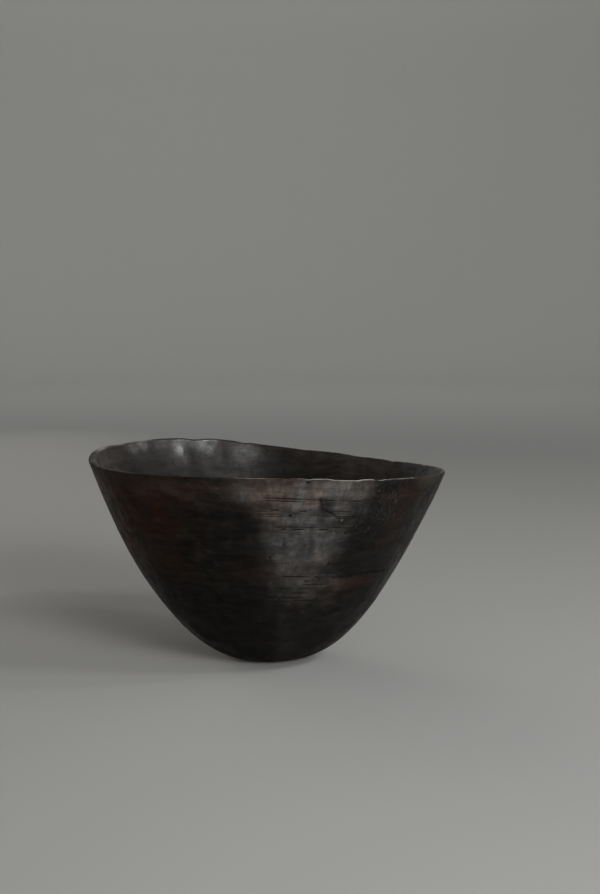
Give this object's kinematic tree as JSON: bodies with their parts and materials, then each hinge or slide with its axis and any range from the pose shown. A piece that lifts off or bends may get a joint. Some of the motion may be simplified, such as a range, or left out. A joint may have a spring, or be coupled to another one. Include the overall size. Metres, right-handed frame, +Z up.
{
  "type": "carved wooden bowl",
  "caption": "Deep hand-carved bowl of dark wood with a flaring wall, a rounded bottom and a thin, worn, uneven lip.",
  "frame": {"origin": "middle of the flat worn patch under the bowl, on the surface the bowl stands on", "axes": "+Z up through the mouth, -Y the front of the bowl, +X to the right of someone who faces the front"},
  "size_m": [0.3229, 0.3256, 0.1894],
  "materials": {
    "dark_wood": "hand-worn satin, nearly black, with pale rubbed wood on the lip"
  },
  "bodies": {
    "root": {"bowl": "dark_wood"}
  },
  "joints": []
}
